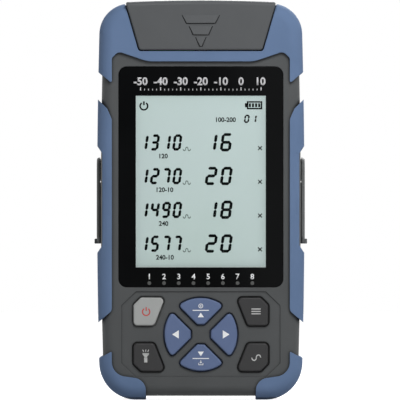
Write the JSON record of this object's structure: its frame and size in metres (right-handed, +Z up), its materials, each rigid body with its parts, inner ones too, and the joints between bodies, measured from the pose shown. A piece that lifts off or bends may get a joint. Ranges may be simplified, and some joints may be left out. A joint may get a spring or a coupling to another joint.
{
  "type": "optical power meter",
  "caption": "Handheld optical power meter with rubber bumpers, flip cover over two fibre ports, display, keypad, tilt stand and battery door.",
  "frame": {"origin": "on the ground under the middle of the upright casing", "axes": "+X to the right seen from the front, -Y out of the display, +Z up to the port cover"},
  "size_m": [0.1024, 0.0465, 0.1914],
  "materials": {
    "casing": "fine moulded texture",
    "blue_rubber": "matt soft touch",
    "cover": "fine moulded texture",
    "window": "gloss with black printed border",
    "display": "pale reflective liquid crystal",
    "light_guide": "polished clear",
    "indicator": "frosted clear",
    "board": "solder mask",
    "mat": "silicone",
    "blue_key": "matt soft touch",
    "dark_key": "matt soft touch",
    "light_key": "matt soft touch",
    "steel": "turned",
    "panel": "fine moulded texture",
    "green_port": "polished",
    "blue_port": "polished",
    "ceramic": "polished zirconia",
    "lamp": "clear",
    "module": "blasted",
    "stand": "fine moulded texture",
    "cell": "printed sleeve",
    "contact": "nickel plated",
    "black_screw": "black oxide"
  },
  "bodies": {
    "casing": {"front_housing": "casing", "rear_housing": "casing", "top_bumper": "blue_rubber", "left_grip": "blue_rubber", "right_grip": "blue_rubber", "lower_left_bumper": "blue_rubber", "lower_right_bumper": "blue_rubber", "display_window": "window", "lcd_panel": "display", "light_guide": "light_guide", "indicator_pipes": "indicator", "main_board": "board", "keypad_mat": "mat", "cover_hinge_pin": "steel", "port_panel": "panel", "left_fibre_port": "green_port", "right_fibre_port": "blue_port", "left_alignment_sleeve": "ceramic", "right_alignment_sleeve": "ceramic", "port_screws": "steel", "torch_lamp": "lamp", "optical_module": "module", "stand_pins": "steel", "battery_cell_1": "cell", "battery_cell_2": "cell", "battery_cell_3": "cell", "battery_contacts": "contact", "case_screws": "black_screw"},
    "cover": {"port_cover": "cover"},
    "stand": {"tilt_stand": "stand"},
    "door": {"battery_door": "casing"},
    "power_key_cap": {"power_key": "light_key"},
    "menu_key_cap": {"menu_key": "dark_key"},
    "torch_key_cap": {"torch_key": "dark_key"},
    "wave_key_cap": {"wave_key": "dark_key"},
    "up_key_cap": {"up_key": "blue_key"},
    "down_key_cap": {"down_key": "blue_key"},
    "left_key_cap": {"left_key": "blue_key"},
    "right_key_cap": {"right_key": "blue_key"}
  },
  "joints": [
    {"name": "cover_hinge", "type": "hinge", "parent": "casing", "child": "cover", "pos_m": [0, 0.0194, 0.1884], "axis": [-1, 0, 0], "range_deg": [0, 150]},
    {"name": "stand_hinge", "type": "hinge", "parent": "casing", "child": "stand", "pos_m": [0, 0.0149, 0.11], "axis": [1, 0, 0], "range_deg": [0, 75]},
    {"name": "door_hinge", "type": "hinge", "parent": "casing", "child": "door", "pos_m": [0, 0.02, 0.0632], "axis": [1, 0, 0], "range_deg": [0, 60]},
    {"name": "power_key_press", "type": "slide", "parent": "casing", "child": "power_key_cap", "axis": [0, 1, 0], "range_m": [0, 0.0008], "stiffness_N_per_m": 400},
    {"name": "menu_key_press", "type": "slide", "parent": "casing", "child": "menu_key_cap", "axis": [0, 1, 0], "range_m": [0, 0.0008], "stiffness_N_per_m": 400},
    {"name": "torch_key_press", "type": "slide", "parent": "casing", "child": "torch_key_cap", "axis": [0, 1, 0], "range_m": [0, 0.0008], "stiffness_N_per_m": 400},
    {"name": "wave_key_press", "type": "slide", "parent": "casing", "child": "wave_key_cap", "axis": [0, 1, 0], "range_m": [0, 0.0008], "stiffness_N_per_m": 400},
    {"name": "up_key_press", "type": "slide", "parent": "casing", "child": "up_key_cap", "axis": [0, 1, 0], "range_m": [0, 0.0008], "stiffness_N_per_m": 400},
    {"name": "down_key_press", "type": "slide", "parent": "casing", "child": "down_key_cap", "axis": [0, 1, 0], "range_m": [0, 0.0008], "stiffness_N_per_m": 400},
    {"name": "left_key_press", "type": "slide", "parent": "casing", "child": "left_key_cap", "axis": [0, 1, 0], "range_m": [0, 0.0008], "stiffness_N_per_m": 400},
    {"name": "right_key_press", "type": "slide", "parent": "casing", "child": "right_key_cap", "axis": [0, 1, 0], "range_m": [0, 0.0008], "stiffness_N_per_m": 400}
  ]
}
